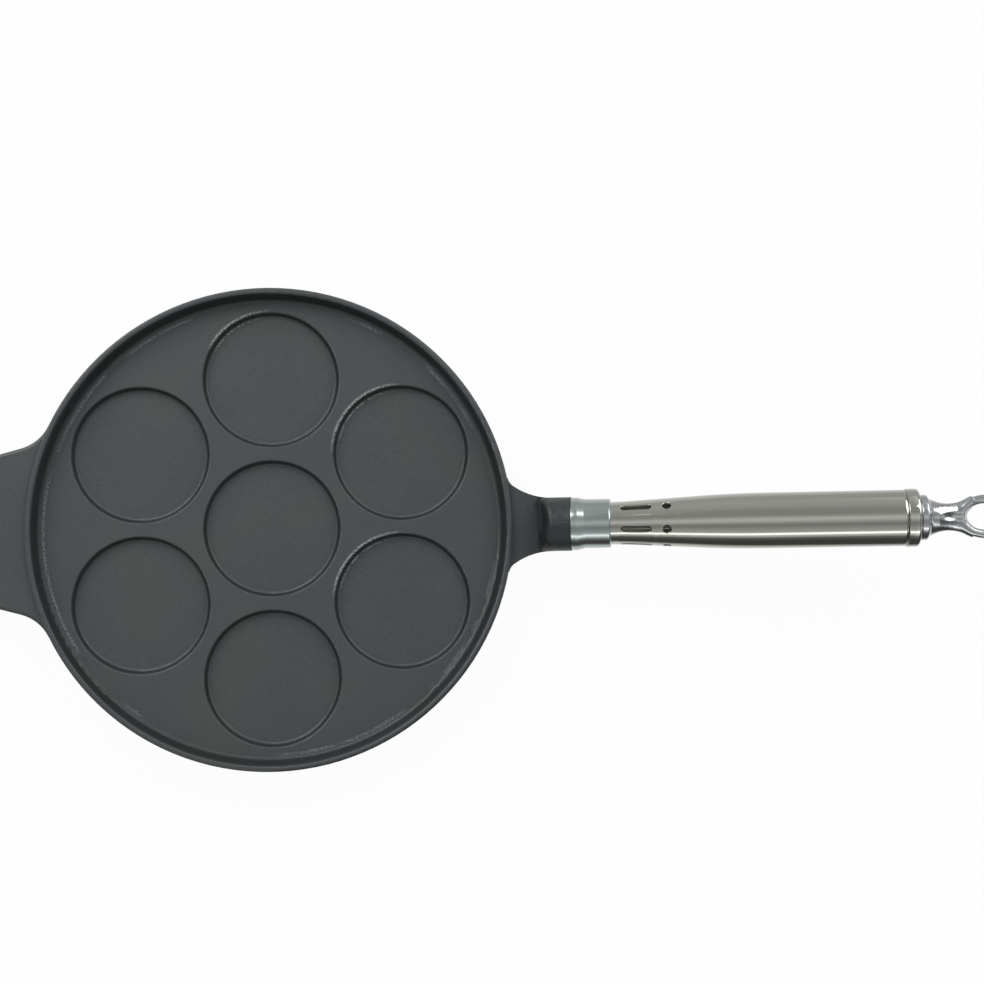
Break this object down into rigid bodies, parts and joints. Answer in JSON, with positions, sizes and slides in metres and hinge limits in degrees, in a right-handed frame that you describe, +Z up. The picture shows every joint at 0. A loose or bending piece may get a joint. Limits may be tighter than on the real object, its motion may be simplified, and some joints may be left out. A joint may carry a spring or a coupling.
{
  "type": "mini pancake pan",
  "caption": "Round cast iron pan with shallow recesses for small pancakes, a helper tab and a vented tubular steel handle with a hanging eye.",
  "frame": {"origin": "centre of the round flat base, on the surface the pan stands on", "axes": "+X along the handle away from the pan, +Z up"},
  "size_m": [0.4909, 0.2306, 0.06],
  "materials": {
    "casting": "seasoned, satin, fine cast grain",
    "bright_casting": "plated die casting, soft polish",
    "tube": "polished stainless with fine lengthwise brushing",
    "cap": "polished stainless",
    "rod": "bright zinc plated steel"
  },
  "bodies": {
    "pan": {"pan_casting": "casting", "ferrule": "bright_casting", "handle_tube": "tube", "end_cap": "cap"},
    "washer": {"spring_washer": "rod"},
    "hanger": {"hanging_loop": "bright_casting", "tie_rod": "rod"}
  },
  "joints": [
    {"name": "screw_travel", "type": "slide", "parent": "pan", "child": "washer", "axis": [0.9848, 0, 0.1736], "range_m": [0, 0.009]},
    {"name": "screw_turn", "type": "hinge", "parent": "washer", "child": "hanger", "pos_m": [0.1432, 0, 0.0185], "axis": [0.9848, 0, 0.1736], "range_deg": [0, 3240]}
  ],
  "couplings": [
    {"joint": "screw_turn", "follows": "screw_travel", "rad_per_m": 6283.2}
  ]
}
